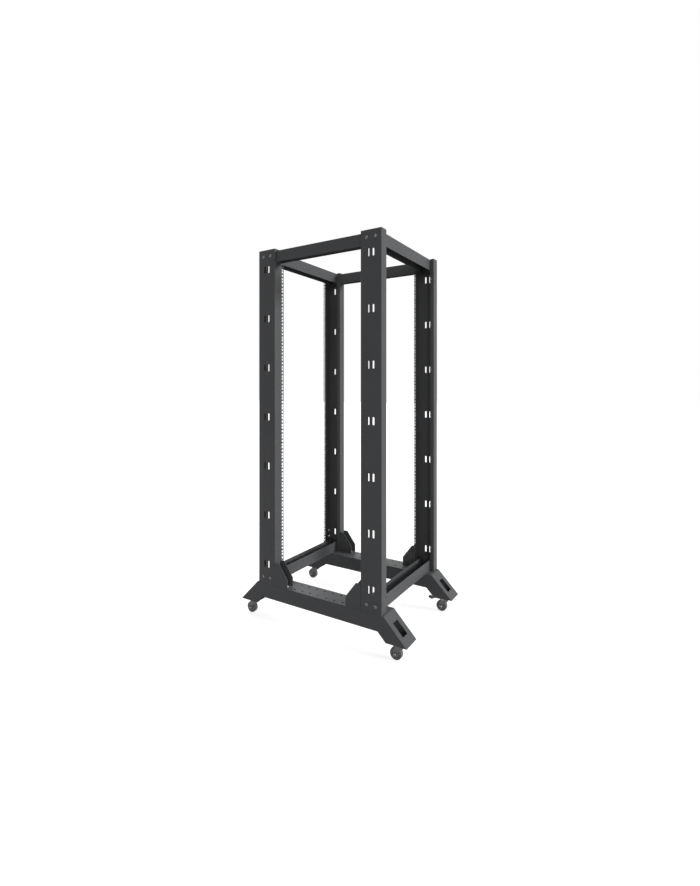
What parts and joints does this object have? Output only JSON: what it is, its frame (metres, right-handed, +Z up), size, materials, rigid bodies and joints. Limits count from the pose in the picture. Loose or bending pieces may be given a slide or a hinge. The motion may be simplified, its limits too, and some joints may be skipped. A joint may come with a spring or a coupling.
{
  "type": "open frame equipment rack",
  "caption": "Open rack of folded posts with square-hole columns, joined by cross channels and side rails, on splayed base beams with swivel casters.",
  "frame": {"origin": "on the floor under the middle of the rack", "axes": "+X from the rear posts to the front posts, +Y from the left side to the right side, +Z up"},
  "size_m": [0.856, 0.57, 1.688],
  "materials": {
    "frame_paint": "satin powder coat",
    "caster_metal": "satin",
    "caster_wheel": "matte",
    "brake_pedal": "matte"
  },
  "bodies": {
    "root": {"front_left_post": "frame_paint", "front_left_bracket": "frame_paint", "front_left_caster_plate": "caster_metal", "front_right_post": "frame_paint", "front_right_bracket": "frame_paint", "front_right_caster_plate": "caster_metal", "rear_left_post": "frame_paint", "rear_left_bracket": "frame_paint", "rear_left_caster_plate": "caster_metal", "rear_right_post": "frame_paint", "rear_right_bracket": "frame_paint", "rear_right_caster_plate": "caster_metal", "front_bottom_beam": "frame_paint", "rear_bottom_beam": "frame_paint", "front_top_beam": "frame_paint", "rear_top_beam": "frame_paint", "left_top_rail": "frame_paint", "right_top_rail": "frame_paint", "left_base_beam": "frame_paint", "right_base_beam": "frame_paint"},
    "front_left_fork": {"front_left_caster_fork": "caster_metal"},
    "front_left_wheel": {"front_left_caster_wheel": "caster_wheel"},
    "front_right_fork": {"front_right_caster_fork": "caster_metal"},
    "front_right_wheel": {"front_right_caster_wheel": "caster_wheel"},
    "rear_left_fork": {"rear_left_caster_fork": "caster_metal"},
    "rear_left_wheel": {"rear_left_caster_wheel": "caster_wheel"},
    "rear_right_fork": {"rear_right_caster_fork": "caster_metal"},
    "rear_right_wheel": {"rear_right_caster_wheel": "caster_wheel"},
    "front_right_pedal": {"front_right_brake_pedal": "brake_pedal"}
  },
  "joints": [
    {"name": "front_left_swivel", "type": "hinge", "parent": "root", "child": "front_left_fork", "pos_m": [0.382, -0.24, 0.07], "axis": [0, 0, 1], "continuous": true},
    {"name": "front_left_roll", "type": "hinge", "parent": "front_left_fork", "child": "front_left_wheel", "pos_m": [0.362, -0.24, 0.025], "axis": [0, 1, 0], "continuous": true},
    {"name": "front_right_swivel", "type": "hinge", "parent": "root", "child": "front_right_fork", "pos_m": [0.382, 0.24, 0.07], "axis": [0, 0, 1], "continuous": true},
    {"name": "front_right_roll", "type": "hinge", "parent": "front_right_fork", "child": "front_right_wheel", "pos_m": [0.362, 0.24, 0.025], "axis": [0, 1, 0], "continuous": true},
    {"name": "rear_left_swivel", "type": "hinge", "parent": "root", "child": "rear_left_fork", "pos_m": [-0.382, -0.24, 0.07], "axis": [0, 0, 1], "continuous": true},
    {"name": "rear_left_roll", "type": "hinge", "parent": "rear_left_fork", "child": "rear_left_wheel", "pos_m": [-0.402, -0.24, 0.025], "axis": [0, 1, 0], "continuous": true},
    {"name": "rear_right_swivel", "type": "hinge", "parent": "root", "child": "rear_right_fork", "pos_m": [-0.382, 0.24, 0.07], "axis": [0, 0, 1], "continuous": true},
    {"name": "rear_right_roll", "type": "hinge", "parent": "rear_right_fork", "child": "rear_right_wheel", "pos_m": [-0.402, 0.24, 0.025], "axis": [0, 1, 0], "continuous": true},
    {"name": "front_right_brake", "type": "hinge", "parent": "front_right_fork", "child": "front_right_pedal", "pos_m": [0.3705, 0.24, 0.057], "axis": [0, -1, 0], "range_deg": [0, 21]}
  ]
}
